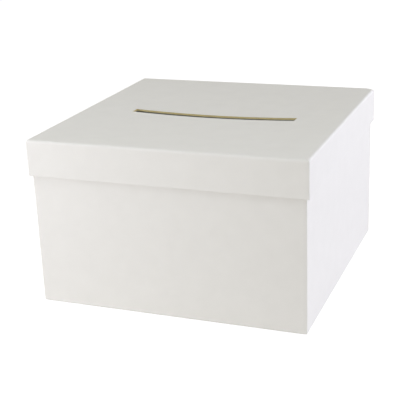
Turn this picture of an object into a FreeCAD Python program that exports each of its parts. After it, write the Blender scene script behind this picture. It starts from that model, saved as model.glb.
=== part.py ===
# Wedding card box: a rigid, paper-covered tray with a lift-off lid and a card slot.
# Two scored board blanks, the tray and the lid, are folded up, held at their corners by paper stays,
# covered with paper that is turned over the raw edges, and lined. Millimetres, +Z up. X runs along the
# slot and Y from front to back. The origin is the middle of the base, on the surface it stands on.

import FreeCAD
import Part
import Sketcher
import os

doc = FreeCAD.newDocument("CardBox")

# Driving dimensions: one cell each, with the cell's alias, its value and what it measures.
SIZES = (
    ("lid_width", "300", "outside of the lid, left to right"),
    ("lid_depth", "300", "outside of the lid, front to back"),
    ("total_height", "182", "from the table to the top of the closed lid"),
    ("skirt_height", "39", "outside height of the lid"),
    ("board_thickness", "2", "board of both blanks"),
    ("fold_radius", "2.4", "outer radius of the board at a scored fold"),
    ("corner_gap", "0.2", "butt joint between two neighbouring walls of a blank"),
    ("wrap_thickness", "0.2", "cover paper"),
    ("rim_turn_in", "18", "cover paper turned down inside the tray's rim"),
    ("base_turn_under", "20", "cover paper turned under the tray's floor"),
    ("skirt_turn_in", "24", "cover paper turned up inside the lid's skirt"),
    ("stay_thickness", "0.15", "paper of the corner stays, which also sets the glue gap under the cover"),
    ("stay_leg", "16", "reach of a corner stay along each wall"),
    ("stay_margin", "4", "from a corner stay's end to the free edge of the wall"),
    ("base_sheet_thickness", "0.2", "paper under the tray"),
    ("base_sheet_inset", "5", "from the tray's outside to the edge of the base sheet"),
    ("lining_thickness", "0.2", "lining paper"),
    ("lining_drop", "6", "from the tray's rim down to the top of the wall linings"),
    ("lining_gap", "0.2", "gap left at the edges of a lining sheet"),
    ("lid_clearance", "0.6", "gap on each side between the tray and the lid that slips over it"),
    ("slot_length", "190", "card slot, along X"),
    ("slot_width", "12", "card slot, along Y"),
)

# Sizes and levels that follow from the driving ones, so that every piece fits its neighbours.
FITS = (
    ("cover_build", "=Sizes.wrap_thickness + Sizes.stay_thickness"),
    ("overhang", "=cover_build + Sizes.board_thickness + Sizes.wrap_thickness + Sizes.lid_clearance"),
    ("lid_board_width", "=Sizes.lid_width - 2 * cover_build"),
    ("lid_board_depth", "=Sizes.lid_depth - 2 * cover_build"),
    ("lid_inner_width", "=lid_board_width - 2 * Sizes.board_thickness"),
    ("lid_inner_depth", "=lid_board_depth - 2 * Sizes.board_thickness"),
    ("tray_width", "=Sizes.lid_width - 2 * overhang"),
    ("tray_depth", "=Sizes.lid_depth - 2 * overhang"),
    ("tray_board_width", "=tray_width - 2 * cover_build"),
    ("tray_board_depth", "=tray_depth - 2 * cover_build"),
    ("tray_inner_width", "=tray_board_width - 2 * Sizes.board_thickness"),
    ("tray_inner_depth", "=tray_board_depth - 2 * Sizes.board_thickness"),
    ("board_bottom", "=Sizes.base_sheet_thickness + Sizes.wrap_thickness"),
    ("floor_top", "=board_bottom + Sizes.board_thickness"),
    ("lid_board_top", "=Sizes.total_height - Sizes.wrap_thickness"),
    ("lid_underside", "=lid_board_top - Sizes.board_thickness"),
    ("tray_top", "=lid_underside - Sizes.lining_thickness"),
    ("tray_board_top", "=tray_top - Sizes.wrap_thickness"),
    ("skirt_bottom", "=Sizes.total_height - Sizes.skirt_height"),
    ("skirt_board_bottom", "=skirt_bottom + Sizes.wrap_thickness"),
)

LEVEL_TOLERANCE = 1e-4

sizes = doc.addObject("Spreadsheet::Sheet", "Sizes")
for row, (alias, value, meaning) in enumerate(SIZES, start=1):
    sizes.set(f"A{row}", meaning)
    sizes.set(f"B{row}", value)
    sizes.setAlias(f"B{row}", alias)
doc.recompute()

fits = doc.addObject("Spreadsheet::Sheet", "Fits")
for row, (alias, formula) in enumerate(FITS, start=1):
    fits.set(f"B{row}", formula)
    fits.setAlias(f"B{row}", alias)
doc.recompute()


def new_piece(label):
    """An empty body whose label names the piece."""
    body = doc.addObject("PartDesign::Body", label)
    body.Label = label
    return body


def level_sketch(body, name, level):
    """A sketch parallel to the table at the height that the level expression gives."""
    sketch = body.newObject("Sketcher::SketchObject", name)
    plane = next(item for item in body.Origin.OriginFeatures if item.Role == "XY_Plane")
    sketch.AttachmentSupport = [(plane, "")]
    sketch.MapMode = "FlatFace"
    sketch.setExpression("AttachmentOffset.Base.z", level)
    return sketch


def rectangle(sketch, left, front, right, back):
    """Four joined lines whose two opposite corners are tied to the given expressions."""
    x0, y0, x1, y1 = (float(sketch.evalExpression(side)) for side in (left, front, right, back))
    corners = [FreeCAD.Vector(x, y, 0) for x, y in ((x0, y0), (x1, y0), (x1, y1), (x0, y1))]
    lines = []
    for start, end in zip(corners, corners[1:] + corners[:1]):
        lines.append(sketch.addGeometry(Part.LineSegment(start, end)))
    for line, following in zip(lines, lines[1:] + lines[:1]):
        sketch.addConstraint(Sketcher.Constraint("Coincident", line, 2, following, 1))
    for line, direction in zip(lines, ("Horizontal", "Vertical", "Horizontal", "Vertical")):
        sketch.addConstraint(Sketcher.Constraint(direction, line))
    near, far = lines[0], lines[2]
    for line, kind, value, side in (
        (near, "DistanceX", x0, left),
        (near, "DistanceY", y0, front),
        (far, "DistanceX", x1, right),
        (far, "DistanceY", y1, back),
    ):
        index = sketch.addConstraint(Sketcher.Constraint(kind, -1, 1, line, 1, value))
        sketch.setExpression(f"Constraints[{index}]", side)


def centred_rectangle(sketch, width, depth):
    """A rectangle about the box's middle."""
    rectangle(sketch, f"-({width}) / 2", f"-({depth}) / 2", f"({width}) / 2", f"({depth}) / 2")


def pad(body, sketch, height):
    """Raise the sketch upwards by the height expression."""
    feature = body.newObject("PartDesign::Pad", "Pad")
    feature.Profile = sketch
    feature.setExpression("Length", height)
    doc.recompute()
    return feature


def pocket(body, sketch, height):
    """Cut the sketch out of the body upwards by the height expression."""
    before = body.Shape.Volume
    feature = body.newObject("PartDesign::Pocket", "Pocket")
    feature.Profile = sketch
    feature.Reversed = True
    feature.setExpression("Length", height)
    doc.recompute()
    if body.Shape.Volume >= before:
        raise RuntimeError(f"{body.Label}: {sketch.Label} cuts nothing")
    return feature


def round_fold(body, feature, level, radius):
    """Round every edge of the feature that lies flat at the level, as the scored board bends there."""
    height = float(body.evalExpression(level))
    edges = []
    for number, edge in enumerate(feature.Shape.Edges, start=1):
        box = edge.BoundBox
        if max(abs(box.ZMin - height), abs(box.ZMax - height)) < LEVEL_TOLERANCE:
            edges.append(f"Edge{number}")
    fold = body.newObject("PartDesign::Fillet", "Fold")
    fold.Base = (feature, edges)
    fold.setExpression("Radius", radius)
    doc.recompute()
    return fold


def cut_slot(body, level, height):
    """The card slot, cut through a sheet that starts at the level and is as thick as the height."""
    sketch = level_sketch(body, "SlotOutline", level)
    centred_rectangle(sketch, "Sizes.slot_length", "Sizes.slot_width")
    pocket(body, sketch, height)


def cut_corner_joints(body, width, inner_depth, level, height):
    """Part the side walls from the front and back ones, which run the full width of the blank."""
    inside = f"({inner_depth}) / 2"
    for name, front, back in (
        ("FrontJoints", f"-{inside}", f"-{inside} + Sizes.corner_gap"),
        ("BackJoints", f"{inside} - Sizes.corner_gap", inside),
    ):
        sketch = level_sketch(body, name, level)
        rectangle(sketch, f"-({width}) / 2", front, f"({width}) / 2", back)
        pocket(body, sketch, height)


def make_tray_board():
    """One blank: the floor with four walls folded up from it."""
    body = new_piece("tray_board")
    outside = level_sketch(body, "Outside", "Fits.board_bottom")
    centred_rectangle(outside, "Fits.tray_board_width", "Fits.tray_board_depth")
    block = pad(body, outside, "Fits.tray_board_top - Fits.board_bottom")
    round_fold(body, block, "Fits.board_bottom", "Sizes.fold_radius")
    inside = level_sketch(body, "Inside", "Fits.floor_top")
    centred_rectangle(inside, "Fits.tray_inner_width", "Fits.tray_inner_depth")
    wall_height = "Fits.tray_board_top - Fits.floor_top"
    pocket(body, inside, wall_height)
    cut_corner_joints(body, "Fits.tray_board_width", "Fits.tray_inner_depth", "Fits.floor_top", wall_height)
    return body


def make_tray_wrap():
    """Cover paper round the walls, turned under the floor and over the rim."""
    body = new_piece("tray_wrap")
    paper = "Sizes.wrap_thickness"
    outside = level_sketch(body, "Outside", "Sizes.base_sheet_thickness")
    centred_rectangle(outside, "Fits.tray_width", "Fits.tray_depth")
    pad(body, outside, "Fits.tray_top - Sizes.base_sheet_thickness")
    hollow = level_sketch(body, "BoardSpace", "Fits.board_bottom")
    centred_rectangle(hollow, f"Fits.tray_width - 2 * {paper}", f"Fits.tray_depth - 2 * {paper}")
    space = pocket(body, hollow, "Fits.tray_board_top - Fits.board_bottom")
    fold = round_fold(body, space, "Fits.board_bottom", "Sizes.fold_radius")
    round_fold(body, fold, "Sizes.base_sheet_thickness", f"Sizes.fold_radius + {paper}")
    mouth_width = f"Fits.tray_inner_width - 2 * {paper}"
    mouth_depth = f"Fits.tray_inner_depth - 2 * {paper}"
    mouth = level_sketch(body, "Mouth", "Fits.tray_board_top")
    centred_rectangle(mouth, mouth_width, mouth_depth)
    pocket(body, mouth, paper)
    under = level_sketch(body, "OpenFloor", "Sizes.base_sheet_thickness")
    centred_rectangle(
        under,
        "Fits.tray_board_width - 2 * Sizes.base_turn_under",
        "Fits.tray_board_depth - 2 * Sizes.base_turn_under",
    )
    pocket(body, under, paper)
    turn_in = level_sketch(body, "TurnIn", "Fits.tray_top - Sizes.rim_turn_in")
    centred_rectangle(turn_in, "Fits.tray_inner_width", "Fits.tray_inner_depth")
    centred_rectangle(turn_in, mouth_width, mouth_depth)
    pad(body, turn_in, "Sizes.rim_turn_in")
    return body


def make_base_sheet():
    """Paper glued under the tray over the turned-under edges: the face that the box stands on."""
    body = new_piece("base_sheet")
    outline = level_sketch(body, "Outline", "0")
    centred_rectangle(
        outline,
        "Fits.tray_width - 2 * Sizes.base_sheet_inset",
        "Fits.tray_depth - 2 * Sizes.base_sheet_inset",
    )
    pad(body, outline, "Sizes.base_sheet_thickness")
    return body


def make_floor_lining():
    """Lining paper on the floor, under the lower edges of the wall linings."""
    body = new_piece("tray_lining_floor")
    outline = level_sketch(body, "Outline", "Fits.floor_top")
    centred_rectangle(
        outline,
        "Fits.tray_inner_width - 2 * Sizes.lining_gap",
        "Fits.tray_inner_depth - 2 * Sizes.lining_gap",
    )
    pad(body, outline, "Sizes.lining_thickness")
    return body


def make_wall_linings():
    """One lining sheet on each wall, over the turned-in paper, standing on the floor lining."""
    level = "Fits.floor_top + Sizes.lining_thickness"
    height = f"Fits.tray_top - Sizes.lining_drop - ({level})"
    face_x = "(Fits.tray_inner_width / 2 - Sizes.wrap_thickness)"
    face_y = "(Fits.tray_inner_depth / 2 - Sizes.wrap_thickness)"
    lined_x = f"({face_x} - Sizes.lining_thickness)"
    lined_y = f"({face_y} - Sizes.lining_thickness)"
    end_x = f"({lined_x} - Sizes.lining_gap)"
    end_y = f"({face_y} - Sizes.lining_gap)"
    outlines = {
        "tray_lining_front": (f"-{end_x}", f"-{face_y}", end_x, f"-{lined_y}"),
        "tray_lining_back": (f"-{end_x}", lined_y, end_x, face_y),
        "tray_lining_left": (f"-{face_x}", f"-{end_y}", f"-{lined_x}", end_y),
        "tray_lining_right": (lined_x, f"-{end_y}", face_x, end_y),
    }
    bodies = []
    for label, sides in outlines.items():
        body = new_piece(label)
        outline = level_sketch(body, "Outline", level)
        rectangle(outline, *sides)
        pad(body, outline, height)
        bodies.append(body)
    return bodies


def make_corner_stays(prefix, width, depth, level, height):
    """Four angle strips of paper, each bent round one upright corner of the blank.

    Each is drawn with the corner at its own origin and the walls towards -X and -Y, then turned and
    carried to its corner.
    """
    corners = (
        ("back_right", "", "", 0),
        ("back_left", "-", "", 90),
        ("front_left", "-", "-", 180),
        ("front_right", "", "-", 270),
    )
    leg_end = "-Sizes.stay_leg"
    paper = "Sizes.stay_thickness"
    bodies = []
    for name, sign_x, sign_y, turn in corners:
        body = new_piece(f"{prefix}_stay_{name}")
        outline = level_sketch(body, "Outline", "0")
        rectangle(outline, leg_end, leg_end, paper, paper)
        pad(body, outline, height)
        walls = level_sketch(body, "Walls", "0")
        rectangle(walls, leg_end, leg_end, "0", "0")
        pocket(body, walls, height)
        body.Placement = FreeCAD.Placement(FreeCAD.Vector(), FreeCAD.Rotation(FreeCAD.Vector(0, 0, 1), turn))
        body.setExpression("Placement.Base.x", f"{sign_x}{width} / 2")
        body.setExpression("Placement.Base.y", f"{sign_y}{depth} / 2")
        body.setExpression("Placement.Base.z", level)
        bodies.append(body)
    return bodies


def make_lid_board():
    """One blank: the top with four skirt walls folded down from it, and the card slot."""
    body = new_piece("lid_board")
    outside = level_sketch(body, "Outside", "Fits.skirt_board_bottom")
    centred_rectangle(outside, "Fits.lid_board_width", "Fits.lid_board_depth")
    block = pad(body, outside, "Fits.lid_board_top - Fits.skirt_board_bottom")
    round_fold(body, block, "Fits.lid_board_top", "Sizes.fold_radius")
    inside = level_sketch(body, "Inside", "Fits.skirt_board_bottom")
    centred_rectangle(inside, "Fits.lid_inner_width", "Fits.lid_inner_depth")
    wall_height = "Fits.lid_underside - Fits.skirt_board_bottom"
    pocket(body, inside, wall_height)
    cut_corner_joints(
        body, "Fits.lid_board_width", "Fits.lid_inner_depth", "Fits.skirt_board_bottom", wall_height
    )
    cut_slot(body, "Fits.lid_underside", "Sizes.board_thickness")
    return body


def make_lid_wrap():
    """Cover paper over the top and down the skirt, turned in round the skirt's lower edge."""
    body = new_piece("lid_wrap")
    paper = "Sizes.wrap_thickness"
    outside = level_sketch(body, "Outside", "Fits.skirt_bottom")
    centred_rectangle(outside, "Sizes.lid_width", "Sizes.lid_depth")
    pad(body, outside, "Sizes.skirt_height")
    hollow = level_sketch(body, "BoardSpace", "Fits.skirt_board_bottom")
    centred_rectangle(hollow, f"Sizes.lid_width - 2 * {paper}", f"Sizes.lid_depth - 2 * {paper}")
    space = pocket(body, hollow, "Fits.lid_board_top - Fits.skirt_board_bottom")
    fold = round_fold(body, space, "Fits.lid_board_top", "Sizes.fold_radius")
    round_fold(body, fold, "Sizes.total_height", f"Sizes.fold_radius + {paper}")
    mouth_width = f"Fits.lid_inner_width - 2 * {paper}"
    mouth_depth = f"Fits.lid_inner_depth - 2 * {paper}"
    mouth = level_sketch(body, "Mouth", "Fits.skirt_bottom")
    centred_rectangle(mouth, mouth_width, mouth_depth)
    pocket(body, mouth, paper)
    turn_in = level_sketch(body, "TurnIn", "Fits.skirt_bottom")
    centred_rectangle(turn_in, "Fits.lid_inner_width", "Fits.lid_inner_depth")
    centred_rectangle(turn_in, mouth_width, mouth_depth)
    pad(body, turn_in, "Sizes.skirt_turn_in")
    cut_slot(body, "Fits.lid_board_top", paper)
    return body


def make_lid_lining():
    """Lining paper under the lid's top. It rests on the tray's rim when the box is closed."""
    body = new_piece("lid_lining")
    outline = level_sketch(body, "Outline", "Fits.tray_top")
    centred_rectangle(
        outline,
        "Fits.lid_inner_width - 2 * Sizes.lining_gap",
        "Fits.lid_inner_depth - 2 * Sizes.lining_gap",
    )
    pad(body, outline, "Sizes.lining_thickness")
    cut_slot(body, "Fits.tray_top", "Sizes.lining_thickness")
    return body


tray = [make_tray_board(), make_tray_wrap(), make_base_sheet(), make_floor_lining()]
tray += make_wall_linings()
tray += make_corner_stays(
    "tray",
    "Fits.tray_board_width",
    "Fits.tray_board_depth",
    "Fits.board_bottom + Sizes.fold_radius",
    "Fits.tray_board_top - Sizes.stay_margin - Fits.board_bottom - Sizes.fold_radius",
)
lid = [make_lid_board(), make_lid_wrap(), make_lid_lining()]
lid += make_corner_stays(
    "lid",
    "Fits.lid_board_width",
    "Fits.lid_board_depth",
    "Fits.skirt_board_bottom + Sizes.stay_margin",
    "Fits.lid_board_top - Sizes.fold_radius - Fits.skirt_board_bottom - Sizes.stay_margin",
)

doc.recompute()
failed = [item.Label for item in doc.Objects if "Invalid" in item.State or "Error" in item.State]
if failed:
    raise RuntimeError(f"these objects failed to build: {failed}")
for piece in tray + lid:
    if piece.Shape.isNull() or not piece.Shape.isValid():
        raise RuntimeError(f"{piece.Label} is not a valid solid")

os.makedirs("parts", exist_ok=True)
for piece in tray + lid:
    piece.Shape.exportStep(f"parts/{piece.Label}.step")
    box = piece.Shape.BoundBox
    print(f"{piece.Label}: {piece.Shape.Volume:.0f} mm3, z {box.ZMin:.2f} to {box.ZMax:.2f}")
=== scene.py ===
import math

import bpy
import numpy as np
from mathutils import Euler, Matrix, Vector


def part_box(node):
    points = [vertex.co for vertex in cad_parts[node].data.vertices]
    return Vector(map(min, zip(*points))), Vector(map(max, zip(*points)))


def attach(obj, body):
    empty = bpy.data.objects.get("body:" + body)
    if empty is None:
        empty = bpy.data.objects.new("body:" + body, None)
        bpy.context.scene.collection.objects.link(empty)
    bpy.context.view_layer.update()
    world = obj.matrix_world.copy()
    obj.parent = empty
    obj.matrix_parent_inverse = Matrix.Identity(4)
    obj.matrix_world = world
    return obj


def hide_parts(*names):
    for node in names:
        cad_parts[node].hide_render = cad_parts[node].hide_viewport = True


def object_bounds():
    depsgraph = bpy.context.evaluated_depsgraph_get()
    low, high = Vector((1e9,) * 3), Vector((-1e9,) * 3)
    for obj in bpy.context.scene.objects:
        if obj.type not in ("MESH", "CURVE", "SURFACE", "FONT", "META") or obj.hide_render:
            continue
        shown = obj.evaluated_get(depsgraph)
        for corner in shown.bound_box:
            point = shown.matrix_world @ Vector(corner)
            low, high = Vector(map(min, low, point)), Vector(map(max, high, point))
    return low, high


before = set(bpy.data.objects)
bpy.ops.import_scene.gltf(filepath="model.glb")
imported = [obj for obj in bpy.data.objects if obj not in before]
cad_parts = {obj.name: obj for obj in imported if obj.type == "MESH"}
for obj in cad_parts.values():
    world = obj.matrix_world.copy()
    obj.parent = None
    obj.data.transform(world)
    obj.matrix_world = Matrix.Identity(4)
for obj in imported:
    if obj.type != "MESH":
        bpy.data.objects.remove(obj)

cad_box = [list(corner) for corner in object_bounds()]


# Tray board
# One scored blank of solid, straw-coloured board, its four walls folded up from the floor and butted at
# the corners. The cover and the linings hide it, so it keeps its CAD shape and gets the bare board.

def new_material(name, specular):
    """An empty material with its shader: plain numbers go straight on the shader's own sockets."""
    material = bpy.data.materials.new(name)
    material.use_nodes = True
    shader = material.node_tree.nodes["Principled BSDF"]
    shader.inputs["Specular IOR Level"].default_value = specular
    return material, material.node_tree, shader


def add_node(tree, kind, operation=None, **values):
    """A node of the kind, with its operation and the named input values set."""
    node = tree.nodes.new(kind)
    if operation:
        node.operation = operation
    for socket, value in values.items():
        node.inputs[socket.replace("_", " ")].default_value = value
    return node


def colour_mix(tree, **colours):
    """A node that goes from colour A to colour B as its factor goes from nought to one."""
    mix = tree.nodes.new("ShaderNodeMix")
    mix.data_type = "RGBA"
    for socket, colour in colours.items():
        mix.inputs[socket].default_value = (*colour, 1)
    return mix


def fibre_group():
    """Fibre tone and height of pressed pulp: slow clouds of thicker and thinner stock under fine fibres.

    Tone is half, plus weighted departures of the cloud and fibre noises from their own middle. Height is
    the fibre noise with a share of a finer one, the tooth, on top.
    """
    cloud_weight = 0.9
    fibre_weight = 0.6
    tooth_weight = 0.35
    tooth_fineness = 3.7
    tree = bpy.data.node_groups.new("pressed_fibre", "ShaderNodeTree")
    tree.interface.new_socket("Vector", in_out="INPUT", socket_type="NodeSocketVector")
    for name in ("Cloud Scale", "Fibre Scale"):
        tree.interface.new_socket(name, in_out="INPUT", socket_type="NodeSocketFloat")
    for name in ("Tone", "Fibre", "Height"):
        tree.interface.new_socket(name, in_out="OUTPUT", socket_type="NodeSocketFloat")
    source = tree.nodes.new("NodeGroupInput")
    result = tree.nodes.new("NodeGroupOutput")
    cloud = add_node(tree, "ShaderNodeTexNoise", Detail=3.0, Roughness=0.55)
    fibre = add_node(tree, "ShaderNodeTexNoise", Detail=4.0, Roughness=0.6, Distortion=1.2)
    tooth = add_node(tree, "ShaderNodeTexNoise", Detail=2.0)
    tooth_scale = add_node(tree, "ShaderNodeMath", "MULTIPLY")
    tooth_scale.inputs[1].default_value = tooth_fineness
    cloud_part = add_node(tree, "ShaderNodeMath", "MULTIPLY_ADD")
    cloud_part.inputs[1].default_value = cloud_weight
    cloud_part.inputs[2].default_value = 0.5 - (cloud_weight + fibre_weight) / 2
    tone = add_node(tree, "ShaderNodeMath", "MULTIPLY_ADD")
    tone.inputs[1].default_value = fibre_weight
    height = add_node(tree, "ShaderNodeMath", "MULTIPLY_ADD")
    height.inputs[1].default_value = tooth_weight
    for noise in (cloud, fibre, tooth):
        tree.links.new(source.outputs["Vector"], noise.inputs["Vector"])
    tree.links.new(source.outputs["Cloud Scale"], cloud.inputs["Scale"])
    tree.links.new(source.outputs["Fibre Scale"], fibre.inputs["Scale"])
    tree.links.new(source.outputs["Fibre Scale"], tooth_scale.inputs[0])
    tree.links.new(tooth_scale.outputs[0], tooth.inputs["Scale"])
    tree.links.new(cloud.outputs["Fac"], cloud_part.inputs[0])
    tree.links.new(fibre.outputs["Fac"], tone.inputs[0])
    tree.links.new(cloud_part.outputs[0], tone.inputs[2])
    tree.links.new(tooth.outputs["Fac"], height.inputs[0])
    tree.links.new(fibre.outputs["Fac"], height.inputs[2])
    tree.links.new(tone.outputs[0], result.inputs["Tone"])
    tree.links.new(fibre.outputs["Fac"], result.inputs["Fibre"])
    tree.links.new(height.outputs[0], result.inputs["Height"])
    return tree


pressed_fibre = fibre_group()


def fibre_finish(
    tree, shader, light, dark, cloud_scale, fibre_scale, relief, roughness_range, stretch=(1, 1, 1),
):
    """Colour, roughness and relief from the fibre group: light where the stock is dense, dark between.

    Roughness falls from the end of its range to the start as the fibre noise rises.
    """
    smooth, rough = roughness_range
    place = tree.nodes.new("ShaderNodeTexCoord")
    mapping = add_node(tree, "ShaderNodeMapping", Scale=stretch)
    fibres = tree.nodes.new("ShaderNodeGroup")
    fibres.node_tree = pressed_fibre
    fibres.inputs["Cloud Scale"].default_value = cloud_scale
    fibres.inputs["Fibre Scale"].default_value = fibre_scale
    colour = colour_mix(tree, A=dark, B=light)
    gloss = add_node(tree, "ShaderNodeMapRange", From_Min=0.3, From_Max=0.7, To_Min=rough, To_Max=smooth)
    bump = add_node(tree, "ShaderNodeBump", Strength=1.0, Distance=relief)
    tree.links.new(place.outputs["Object"], mapping.inputs["Vector"])
    tree.links.new(mapping.outputs["Vector"], fibres.inputs["Vector"])
    tree.links.new(fibres.outputs["Tone"], colour.inputs["Factor"])
    tree.links.new(fibres.outputs["Fibre"], gloss.inputs["Value"])
    tree.links.new(fibres.outputs["Height"], bump.inputs["Height"])
    tree.links.new(colour.outputs["Result"], shader.inputs["Base Color"])
    tree.links.new(gloss.outputs["Result"], shader.inputs["Roughness"])
    tree.links.new(bump.outputs["Normal"], shader.inputs["Normal"])
    return colour


def board_material():
    """Bare solid board: plies of straw-coloured pulp, seen as fine streaks along a cut edge."""
    material, tree, shader = new_material("bare_board", specular=0.2)
    fibre_finish(
        tree, shader, light=(0.88, 0.77, 0.42), dark=(0.70, 0.59, 0.27), cloud_scale=90,
        fibre_scale=420, relief=0.00012, roughness_range=(0.8, 0.95), stretch=(1, 1, 9),
    )
    return material


bare_board = board_material()


def dress(node, material):
    """Give a CAD node one material of its own in place of the plain one."""
    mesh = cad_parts[node].data
    mesh.materials.clear()
    mesh.materials.append(material)


dress("tray_board", bare_board)


# Corner stays
# Strips of gummed brown paper bent round the upright corners of both blanks, which hold the folded
# walls together. The cover paper is pasted over them.

def stay_material():
    """Brown kraft paper with long dark fibres."""
    material, tree, shader = new_material("brown_stay_paper", specular=0.25)
    fibre_finish(
        tree, shader, light=(0.42, 0.27, 0.14), dark=(0.30, 0.18, 0.09), cloud_scale=120,
        fibre_scale=900, relief=0.00004, roughness_range=(0.65, 0.85),
    )
    return material


stay_paper = stay_material()
corner_names = ("front_left", "front_right", "back_left", "back_right")
for stay in [f"{half}_stay_{corner}" for half in ("tray", "lid") for corner in corner_names]:
    dress(stay, stay_paper)


# Tray cover
# Smooth ivory paper with a faint pearl gloss, pasted round the tray's walls, turned under the floor and
# over the rim. The side flaps go round the corners first, and the front and back flaps, pasted over
# them, stop just short of the upright edges.

# Thickness of the paper, the radii that it takes at folds and edges, and the points on their arcs
PAPER = 0.0002
FOLD_RADIUS = 0.0026
EDGE_RADIUS = 0.00042
RIM_RADIUS = 0.0006
TIGHT_RADIUS = 0.00015
ARC_POINTS = 7
RIM_POINTS = 5

corner_turn = np.radians(np.linspace(0, 90, ARC_POINTS))

# Points along a side, as shares of its length: some at these millimetres from its ends, where a side is
# taken as 300 mm, and the others evenly between
near_corner = np.array([0.35, 0.6, 0.75, 0.9, 1.4, 2.5, 6, 14]) / 300
side_middle = np.linspace(0.075, 0.925, 28)
side_steps = np.concatenate([near_corner, side_middle, 1 - near_corner[::-1]])


def rectangle_rings(half_x, half_y, radius, height):
    """Rounded rectangles, one ring for each entry of the four arrays, anticlockwise from the front right.

    At each corner an arc of the radius turns through 90 degrees, then a straight side, divided at the
    side steps, runs to the next corner.
    """
    half_x, half_y, radius = (np.asarray(value, float)[:, None] for value in (half_x, half_y, radius))
    arcs = []
    for sign_x, sign_y, start in ((1, -1, -90), (1, 1, 0), (-1, 1, 90), (-1, -1, 180)):
        angle = math.radians(start) + corner_turn
        x = sign_x * (half_x - radius) + radius * np.cos(angle)
        y = sign_y * (half_y - radius) + radius * np.sin(angle)
        arcs.append(np.stack([x, y], axis=-1))
    pieces = []
    for arc, following in zip(arcs, arcs[1:] + arcs[:1]):
        reach = following[:, :1] - arc[:, -1:]
        pieces += [arc, arc[:, -1:] + reach * side_steps[None, :, None]]
    plan = np.concatenate(pieces, axis=1)
    level = np.broadcast_to(np.asarray(height, float)[:, None, None], plan.shape[:2] + (1,))
    return np.concatenate([plan, level], axis=-1)


def run(start, end, count):
    """Points from start to end in even steps, both ends included."""
    return np.linspace(start, end, count)


def bend(centre, radius, start, end, count=ARC_POINTS):
    """Points on an arc from the start angle to the end angle, in degrees.

    Each is the centre plus the radius times the cosine and the sine of its angle.
    """
    angle = np.radians(np.linspace(start, end, count))
    return np.stack([centre[0] + radius * np.cos(angle), centre[1] + radius * np.sin(angle)], axis=-1)


def wall_steps(low, high, count):
    """Heights up a wall, closer together towards both ends.

    Each is the low end plus the rise times half of one less a cosine, over half a turn in even steps.
    """
    return low + (high - low) * (1 - np.cos(np.linspace(0, math.pi, count))) / 2


SHARP_ANGLE = 38


def closed_skin(name, rings, worn, material, body, node):
    """A closed mesh of quads through the rings, the last joined to the first, with its wear attribute.

    The piece rides on the body and stands for the CAD node. Edges past the sharp angle stay crisp.
    """
    count, around = rings.shape[:2]
    index = np.arange(count * around).reshape(count, around)
    beside = np.roll(index, -1, axis=1)
    quads = np.stack([index, beside, np.roll(beside, -1, axis=0), np.roll(index, -1, axis=0)], axis=-1)
    mesh = bpy.data.meshes.new(name)
    mesh.from_pydata(rings.reshape(-1, 3), [], quads.reshape(-1, 4))
    mesh.polygons.foreach_set("use_smooth", np.ones(len(mesh.polygons), bool))
    mesh.set_sharp_from_angle(angle=math.radians(SHARP_ANGLE))
    rub = mesh.attributes.new("rub", "FLOAT", "POINT")
    rub.data.foreach_set("value", np.broadcast_to(worn, (count, around)).astype(np.float32).ravel())
    mesh.materials.append(material)
    piece = bpy.data.objects.new(name, mesh)
    bpy.context.scene.collection.objects.link(piece)
    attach(piece, body)
    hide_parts(node)


# Depth of the ripple, its margin at a wall's ends in metres, and its fade at the top and bottom as a share
# of the height. Of each wave: radians to the metre along the wall, radians up the whole wall, lead on the
# front and back, and start.
RIPPLE = 0.00012
RIPPLE_MARGIN = 0.02
RIPPLE_FADE = 0.12
RIPPLE_WAVES = ((41, 9, 2, 0), (23, -5, 0, 1.3))


def ripple(rings, low, high):
    """Move wall points inwards by a slow uneven wave, as pasted paper dries, fading out at the edges.

    The depth is the ripple times half of one plus the mean of the waves, each a sine along and up the
    wall, so it lies between nought and the ripple.
    """
    x, y, z = np.moveaxis(rings, -1, 0)
    half_x, half_y = np.abs(x).max(), np.abs(y).max()
    up = np.clip((z - low) / (high - low), 0, 1)
    fade_up = np.clip(np.minimum(up, 1 - up) / RIPPLE_FADE, 0, 1)
    for axis, along, half in ((0, y, half_y), (1, x, half_x)):
        across = rings[..., axis]
        on_wall = np.abs(across) > np.abs(across).max(axis=1, keepdims=True) - EDGE_RADIUS / 3
        fade = np.clip((half - np.abs(along)) / RIPPLE_MARGIN, 0, 1) * fade_up
        wave = 0.5
        for per_metre, per_height, lead, start in RIPPLE_WAVES:
            angle = per_metre * along + per_height * up + lead * axis + start
            wave = wave + 0.5 / len(RIPPLE_WAVES) * np.sin(angle)
        rings[..., axis] = across - np.sign(across) * np.where(on_wall, RIPPLE * fade * wave, 0)


# Where the front and back flaps stop short of the upright edge, and the ramp and drop at their cut end
FLAP_STOP = 0.00117
FLAP_RAMP = 0.00015
FLAP_STEP = 0.00008


def flap_seams(rings):
    """Step the front and back walls in next to each upright corner, past the cut end of their flap.

    The step is the flap step, on a short ramp at the flap stop, and fades out round the corner's arc.
    """
    x, y = np.abs(rings[..., 0]), np.abs(rings[..., 1])
    past_end = np.clip((FLAP_STOP - (x.max() - x)) / FLAP_RAMP, 0, 1)
    facing = np.clip((y - y.max() + EDGE_RADIUS) / EDGE_RADIUS, 0, 1)
    rings[..., 1] -= np.sign(rings[..., 1]) * FLAP_STEP * past_end * facing


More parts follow.
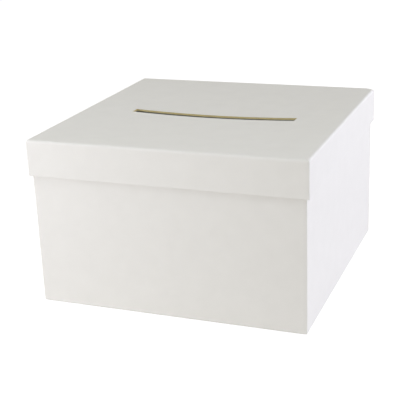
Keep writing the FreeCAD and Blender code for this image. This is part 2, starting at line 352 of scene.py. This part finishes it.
def cover_material():
    """Ivory cover paper: even stock, fine tooth, a little paler where folds and corners rub.

    The colour goes towards the rubbed one by the rub attribute times the most that rubbing does.
    """
    most_rubbed = 0.35
    material, tree, shader = new_material("ivory_cover_paper", specular=0.32)
    colour = fibre_finish(
        tree, shader, light=(0.825, 0.815, 0.78), dark=(0.775, 0.765, 0.73), cloud_scale=55,
        fibre_scale=1300, relief=0.000012, roughness_range=(0.5, 0.6),
    )
    rub = tree.nodes.new("ShaderNodeAttribute")
    rub.attribute_name = "rub"
    share = add_node(tree, "ShaderNodeMath", "MULTIPLY")
    share.inputs[1].default_value = most_rubbed
    paler = colour_mix(tree, B=(0.84, 0.835, 0.81))
    tree.links.new(rub.outputs["Fac"], share.inputs[0])
    tree.links.new(share.outputs[0], paler.inputs["Factor"])
    tree.links.new(colour.outputs["Result"], paler.inputs["A"])
    tree.links.new(paler.outputs["Result"], shader.inputs["Base Color"])
    return material


cover_paper = cover_material()


def wall_ring_table(profile, half_x, half_y):
    """Ring sizes for a profile of insets and heights carried round a wall.

    The corner radius is the edge radius less the inset, and never under the tight radius.
    """
    inset, height = profile.T
    radius = np.maximum(EDGE_RADIUS - inset, TIGHT_RADIUS)
    return np.stack([half_x - inset, half_y - inset, radius, height], axis=-1)


# How far the paper is turned in and under, and how much folds, rims and upright corners are rubbed
TURN_IN_DEPTH = 0.018
TURN_UNDER_DEPTH = 0.020
FOLD_WEAR = 1.0
RIM_WEAR = 0.6
CORNER_WEAR = 0.8

tray_low, tray_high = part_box("tray_wrap")
board_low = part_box("tray_board")[0]
lining_low, lining_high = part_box("tray_lining_left")
rim_width = lining_low.x - tray_low.x
turn_under = board_low.x - tray_low.x + TURN_UNDER_DEPTH
turn_edge = tray_high.z - TURN_IN_DEPTH
fold_top = tray_low.z + FOLD_RADIUS
rim_line = tray_high.z - RIM_RADIUS

# The profile goes along the outer face, from under the floor up the wall, over the rim and down inside,
# and comes back along the glued face
under_floor = run((turn_under, tray_low.z), (FOLD_RADIUS, tray_low.z), count=5)[:-1]
floor_fold = bend((FOLD_RADIUS, fold_top), FOLD_RADIUS, -90, -180)
wall = wall_steps(fold_top, rim_line, count=16)[1:-1]
rim = np.vstack([
    bend((RIM_RADIUS, rim_line), RIM_RADIUS, 180, 90, RIM_POINTS),
    bend((rim_width - RIM_RADIUS, rim_line), RIM_RADIUS, 90, 0, RIM_POINTS),
])
tray_profile = np.vstack([
    under_floor,
    floor_fold,
    np.stack([np.zeros_like(wall), wall], axis=-1),
    rim,
    run((rim_width, rim_line), (rim_width, turn_edge), count=6)[1:],
    run((rim_width - PAPER, turn_edge), (rim_width - PAPER, tray_high.z - PAPER), count=3),
    run((PAPER, tray_high.z - PAPER), (PAPER, fold_top), count=4),
    bend((FOLD_RADIUS, fold_top), FOLD_RADIUS - PAPER, 180, 270)[1:],
    run((FOLD_RADIUS, tray_low.z + PAPER), (turn_under, tray_low.z + PAPER), count=3)[1:],
])
fold_start = len(under_floor)
wall_start = fold_start + len(floor_fold)
rim_start = wall_start + len(wall)

tray_rings = rectangle_rings(*wall_ring_table(tray_profile, tray_high.x, tray_high.y).T)
tray_walls = tray_rings[wall_start - 1:rim_start + 1]
ripple(tray_walls, fold_top, rim_line)
flap_seams(tray_walls)
on_corner = np.tile(np.concatenate([np.ones_like(corner_turn), np.zeros_like(side_steps)]), 4)
tray_fold = np.zeros(len(tray_profile))
tray_fold[fold_start:wall_start] = FOLD_WEAR
tray_fold[rim_start:rim_start + len(rim)] = RIM_WEAR
tray_worn = np.maximum(tray_fold[:, None], on_corner[None, :] * CORNER_WEAR)
closed_skin("tray_cover", tray_rings, tray_worn, cover_paper, "tray", "tray_wrap")


# Base sheet
# A plain sheet of uncoated paper glued under the floor, over the turned-under edges of the cover.
# It is the face that the box stands on.

def plain_paper_material(name, light, dark):
    """Uncoated paper: duller than the cover, with a coarser look-through."""
    material, tree, shader = new_material(name, specular=0.2)
    fibre_finish(
        tree, shader, light=light, dark=dark, cloud_scale=80, fibre_scale=800, relief=0.00003,
        roughness_range=(0.7, 0.85),
    )
    return material


base_paper = plain_paper_material("plain_base_paper", light=(0.76, 0.73, 0.66), dark=(0.68, 0.65, 0.58))
dress("base_sheet", base_paper)


# Tray linings
# A sheet of uncoated cream paper on the floor and on each wall, which covers the lower edge of the
# turned-in cover and stops short of the rim.

lining_paper = plain_paper_material("cream_lining_paper", light=(0.79, 0.76, 0.69), dark=(0.73, 0.70, 0.63))
for side in ("floor", "front", "back", "left", "right"):
    dress(f"tray_lining_{side}", lining_paper)


# Lid board
# The lid's blank: a square top with four skirt walls folded down, and the card slot cut through the
# middle. Wide and weakened by the slot, the top hangs in a shallow dish between the tray's walls, and
# its back right corner has been pressed down.

SLOT_HALF_LENGTH = 0.095
SLOT_HALF_WIDTH = 0.006
SLOT_RADIUS = 0.0004
TOP_CORNER = 0.0012
PANEL_RINGS = 40

lid_low, lid_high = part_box("lid_wrap")
lid_board_low, lid_board_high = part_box("lid_board")
lid_lining_low, lid_lining_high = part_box("lid_lining")

# Depth of the dish, how sharply it turns at its rim, and how far inside the tray's walls that rim lies
SAG = 0.0052
SAG_SOFTNESS = 16
SAG_MARGIN = 0.004

sag_half = lining_high.y - SAG_MARGIN


def sag(rings):
    """Lower points by the dish: the sag times one minus the square of X, times the same of Y.

    X and Y are shares of the half span. Each factor is softened at the rim, where it would turn sharply:
    it is log(1 + exp(k u)) over k, which is u well inside and fades to nought outside.
    """
    factor = 1.0
    for axis in (0, 1):
        share = 1 - (rings[..., axis] / sag_half) ** 2
        factor = factor * np.log1p(np.exp(SAG_SOFTNESS * share)) / SAG_SOFTNESS
    rings[..., 2] -= SAG * factor


def blunt_corners(fold_table, start, top_corner):
    """Blunt a fold's corners: the corner radius grows from the upright edge's to the top corner's.

    It grows with the inset of the rings from the one at the start, where the wall ends.
    """
    inset = np.abs(fold_table[:, 0] - fold_table[start, 0])
    fold_table[:, 2] += (top_corner - fold_table[:, 2]) * inset / inset.max()


# How far the back right corner is pressed down, and how far from it that reaches
CORNER_PRESS = 0.0024
CORNER_REACH = 0.010


def press_corner(rings, fold_line, top):
    """Lower the lid's top corner at the back on the right, which has been pressed down in handling.

    The drop is the press times the share of the fold climbed, times the square of the closeness to the
    corner, which is one at the corner itself and nought at the reach.
    """
    gap = np.array([lid_high.x, lid_high.y]) - rings[..., :2]
    closeness = np.clip(1 - np.hypot(gap[..., 0], gap[..., 1]) / CORNER_REACH, 0, 1)
    climbed = np.clip((rings[..., 2] - fold_line) / (top - fold_line), 0, 1)
    rings[..., 2] -= CORNER_PRESS * climbed * closeness ** 2


def panel_ring_table(inset, radius, height, inwards=True):
    """Rings from a panel's outer edge in to the card slot, or back out, in even shares of the way.

    The outer edge lies inside the lid's sides by the inset.
    """
    share = np.linspace(0, 1, PANEL_RINGS) if inwards else np.linspace(1, 0, PANEL_RINGS)
    outer = np.array([lid_high.x - inset, lid_high.y - inset, radius])
    slot_edge = np.array([SLOT_HALF_LENGTH, SLOT_HALF_WIDTH, SLOT_RADIUS])
    sizes = outer + (slot_edge - outer) * share[:, None]
    return np.column_stack([sizes, np.full(PANEL_RINGS, height)])


board_inset = lid_high.x - lid_board_high.x
board_underside = lid_lining_high.z
inner_inset = board_inset + lid_board_high.z - board_underside
board_fold = FOLD_RADIUS - PAPER
board_fold_line = lid_board_high.z - board_fold
fold_edge = board_inset + board_fold
board_corner = TOP_CORNER - board_inset

# Up the skirt's outer face, over the fold, across the top, down through the slot and back underneath
skirt_outside = np.vstack([
    run((board_inset, lid_board_low.z), (board_inset, board_fold_line), count=5)[:-1],
    bend((fold_edge, board_fold_line), board_fold, 180, 90),
])
skirt_inside = run((inner_inset, board_underside), (inner_inset, lid_board_low.z), count=4)
slot_wall = run(lid_board_high.z, board_underside, count=6)[1:-1]
skirt_table = wall_ring_table(skirt_outside, lid_high.x, lid_high.y)
blunt_corners(skirt_table[-ARC_POINTS:], 0, board_corner)
lid_board_table = np.vstack([
    skirt_table,
    panel_ring_table(fold_edge, board_corner, lid_board_high.z)[1:],
    [(SLOT_HALF_LENGTH, SLOT_HALF_WIDTH, SLOT_RADIUS, level) for level in slot_wall],
    panel_ring_table(inner_inset, TIGHT_RADIUS, board_underside, inwards=False),
    wall_ring_table(skirt_inside, lid_high.x, lid_high.y)[1:],
])
board_top_start = len(skirt_outside)
board_top_end = len(lid_board_table) - len(skirt_inside)

lid_board_rings = rectangle_rings(*lid_board_table.T)
press_corner(lid_board_rings[:board_top_start + PANEL_RINGS], board_fold_line, lid_board_high.z)
sag(lid_board_rings[board_top_start:board_top_end])
closed_skin("lid_panel", lid_board_rings, 0, bare_board, "lid", "lid_board")


# Lid cover
# The same ivory paper, pasted over the top and down the skirt, cut through at the slot and turned up
# inside round the skirt's lower edge.

SKIRT_TURN_IN = 0.024

cover_rim = inner_inset + PAPER
edge_line = lid_low.z + RIM_RADIUS
turn_top = lid_low.z + SKIRT_TURN_IN
lid_fold_line = lid_high.z - FOLD_RADIUS

# Down the turned-in edge, round the skirt's lower edge, up the skirt and over the fold, and then the
# glued face from the fold back to the turned-in edge
skirt_turn = run((cover_rim, turn_top), (cover_rim, edge_line), count=6)[:-1]
skirt_rim = np.vstack([
    bend((cover_rim - RIM_RADIUS, edge_line), RIM_RADIUS, 0, -90, RIM_POINTS),
    bend((RIM_RADIUS, edge_line), RIM_RADIUS, -90, -180, RIM_POINTS),
])
skirt = wall_steps(edge_line, lid_fold_line, count=10)[1:-1]
cover_outside = np.vstack([
    skirt_turn,
    skirt_rim,
    np.stack([np.zeros_like(skirt), skirt], axis=-1),
    bend((FOLD_RADIUS, lid_fold_line), FOLD_RADIUS, 180, 90),
])
cover_inside = np.vstack([
    bend((FOLD_RADIUS, lid_fold_line), FOLD_RADIUS - PAPER, 90, 180),
    run((PAPER, lid_fold_line), (PAPER, lid_low.z + PAPER), count=4)[1:],
    run((cover_rim - PAPER, lid_low.z + PAPER), (cover_rim - PAPER, turn_top), count=3),
])
outside_table = wall_ring_table(cover_outside, lid_high.x, lid_high.y)
blunt_corners(outside_table[-ARC_POINTS:], 0, TOP_CORNER)
inside_table = wall_ring_table(cover_inside, lid_high.x, lid_high.y)
blunt_corners(inside_table[:ARC_POINTS], -1, TOP_CORNER - PAPER)
lid_cover_table = np.vstack([
    outside_table,
    panel_ring_table(FOLD_RADIUS, TOP_CORNER, lid_high.z)[1:],
    panel_ring_table(FOLD_RADIUS, TOP_CORNER - PAPER, lid_high.z - PAPER, inwards=False)[:-1],
    inside_table,
])
skirt_rim_start = len(skirt_turn)
skirt_start = skirt_rim_start + len(skirt_rim)
top_fold_start = skirt_start + len(skirt)
cover_top_start = len(cover_outside)
cover_top_end = len(lid_cover_table) - len(cover_inside)

lid_cover_rings = rectangle_rings(*lid_cover_table.T)
outer_skirt = lid_cover_rings[skirt_start - 1:top_fold_start + 1]
ripple(outer_skirt, edge_line, lid_fold_line)
flap_seams(outer_skirt)
press_corner(lid_cover_rings, lid_fold_line, lid_high.z)
sag(lid_cover_rings[cover_top_start:cover_top_end])
lid_fold = np.zeros(len(lid_cover_table))
lid_fold[top_fold_start:cover_top_start] = FOLD_WEAR
lid_fold[skirt_rim_start:skirt_start] = RIM_WEAR
wall_rows = (np.arange(len(lid_cover_table)) < cover_top_start).astype(float)
lid_worn = np.maximum(lid_fold[:, None], wall_rows[:, None] * on_corner[None, :] * CORNER_WEAR)
closed_skin("lid_cover", lid_cover_rings, lid_worn, cover_paper, "lid", "lid_wrap")


# Lid lining
# A sheet of the cream lining paper under the lid's top, with the slot cut through it. It follows the
# dish of the board and rests on the tray's rim.

lining_inset = lid_high.x - lid_lining_high.x
lid_lining_table = np.vstack([
    panel_ring_table(lining_inset, TIGHT_RADIUS, lid_lining_high.z),
    panel_ring_table(lining_inset, TIGHT_RADIUS, lid_lining_low.z, inwards=False),
])
lid_lining_rings = rectangle_rings(*lid_lining_table.T)
sag(lid_lining_rings)
closed_skin("lid_lining_sheet", lid_lining_rings, 0, lining_paper, "lid", "lid_lining")


# Stage
# A plain white floor and background, with soft light from the left in front, the right, overhead and
# behind. The camera sees floor and background bright, and the box gets only the light of the lamps,
# a dim sky and the floor's bounce.

def backdrop_rays(tree):
    """One for rays from the camera, or seen in gloss or glass, and nought for light on the object."""
    path = tree.nodes.new("ShaderNodeLightPath")
    seen = add_node(tree, "ShaderNodeMath", "MAXIMUM")
    any_seen = add_node(tree, "ShaderNodeMath", "MAXIMUM")
    tree.links.new(path.outputs["Is Camera Ray"], seen.inputs[0])
    tree.links.new(path.outputs["Is Glossy Ray"], seen.inputs[1])
    tree.links.new(seen.outputs[0], any_seen.inputs[0])
    tree.links.new(path.outputs["Is Transmission Ray"], any_seen.inputs[1])
    return any_seen.outputs[0]


def floor_material():
    """White floor: the camera sees a bright sheet with a faint shadow, and the box gets its bounce.

    What is seen is a grey that takes the shadow plus an even glow, and the bounce is a warm white alone.
    """
    glow_level = 0.83
    material = bpy.data.materials.new("white_floor")
    material.use_nodes = True
    tree = material.node_tree
    tree.nodes.clear()
    seen = backdrop_rays(tree)
    colour = colour_mix(tree, A=(0.97, 0.958, 0.925), B=(0.50, 0.50, 0.50))
    diffuse = tree.nodes.new("ShaderNodeBsdfDiffuse")
    glow = add_node(tree, "ShaderNodeEmission", Color=(1, 1, 1, 1))
    level = add_node(tree, "ShaderNodeMath", "MULTIPLY")
    level.inputs[1].default_value = glow_level
    both = tree.nodes.new("ShaderNodeAddShader")
    output = tree.nodes.new("ShaderNodeOutputMaterial")
    tree.links.new(seen, colour.inputs["Factor"])
    tree.links.new(colour.outputs["Result"], diffuse.inputs["Color"])
    tree.links.new(seen, level.inputs[0])
    tree.links.new(level.outputs[0], glow.inputs["Strength"])
    tree.links.new(diffuse.outputs[0], both.inputs[0])
    tree.links.new(glow.outputs[0], both.inputs[1])
    tree.links.new(both.outputs[0], output.inputs["Surface"])
    return material


FLOOR_HALF = 6.0

floor_mesh = bpy.data.meshes.new("floor")
floor_corners = [(FLOOR_HALF * x, FLOOR_HALF * y, 0) for x, y in ((-1, -1), (1, -1), (1, 1), (-1, 1))]
floor_mesh.from_pydata(floor_corners, [], [(0, 1, 2, 3)])
floor_mesh.materials.append(floor_material())
floor = bpy.data.objects.new("floor", floor_mesh)
bpy.context.scene.collection.objects.link(floor)

box_middle = Vector((0, 0, cad_box[1][2] / 2))


def soft_light(name, place, size, power, colour):
    """A square lamp at the place, turned to face the middle of the box."""
    lamp = bpy.data.lights.new(name, "AREA")
    lamp.size = size
    lamp.energy = power
    lamp.color = colour
    light = bpy.data.objects.new(name, lamp)
    light.location = place
    light.rotation_euler = (box_middle - Vector(place)).to_track_quat("-Z", "Y").to_euler()
    bpy.context.scene.collection.objects.link(light)


soft_light("left_front_lamp", place=(-0.75, -0.64, 0.27), size=0.4, power=4.15, colour=(0.90, 0.895, 1.0))
soft_light("right_lamp", place=(2.0, 0.1, 0.6), size=1.2, power=21.2, colour=(0.76, 0.785, 1.0))
soft_light("overhead_lamp", place=(-0.10, -0.50, 1.07), size=0.6, power=3.2, colour=(0.92, 0.98, 1.0))
soft_light("back_lamp", place=(1.2, 2.0, 0.45), size=1.0, power=11.0, colour=(0.98, 0.98, 1.0))

world = bpy.data.worlds.new("studio")
world.use_nodes = True
bpy.context.scene.world = world
world_tree = world.node_tree
sky = world_tree.nodes["Background"]
sky_colour = colour_mix(world_tree, A=(0.38, 0.363, 0.323), B=(1, 1, 1))
world_tree.links.new(backdrop_rays(world_tree), sky_colour.inputs["Factor"])
world_tree.links.new(sky_colour.outputs["Result"], sky.inputs["Color"])


# Camera
# A long lens a little over a metre away, above the lid and to the right of the front, which looks down at
# the box and is held almost level.

VIEW_AZIMUTH = 21.60
VIEW_ELEVATION = 19.26
VIEW_ROLL = -2.29
VIEW_DISTANCE = 1.1213
VIEW_TARGET = (-0.0154, -0.0097, 0.0808)
LENS = 88.71
SENSOR = 36.0

lens = bpy.data.cameras.new("camera")
lens.lens = LENS
lens.sensor_width = SENSOR
camera = bpy.data.objects.new("camera", lens)
turn = Euler((math.radians(90 - VIEW_ELEVATION), 0, math.radians(VIEW_AZIMUTH))).to_matrix().to_4x4()
back = turn.to_3x3() @ Vector((0, 0, 1))
place = Matrix.Translation(Vector(VIEW_TARGET) + back * VIEW_DISTANCE)
camera.matrix_world = place @ turn @ Matrix.Rotation(math.radians(VIEW_ROLL), 4, "Z")
bpy.context.scene.collection.objects.link(camera)
bpy.context.scene.camera = camera
bpy.context.scene.view_settings.view_transform = "Standard"
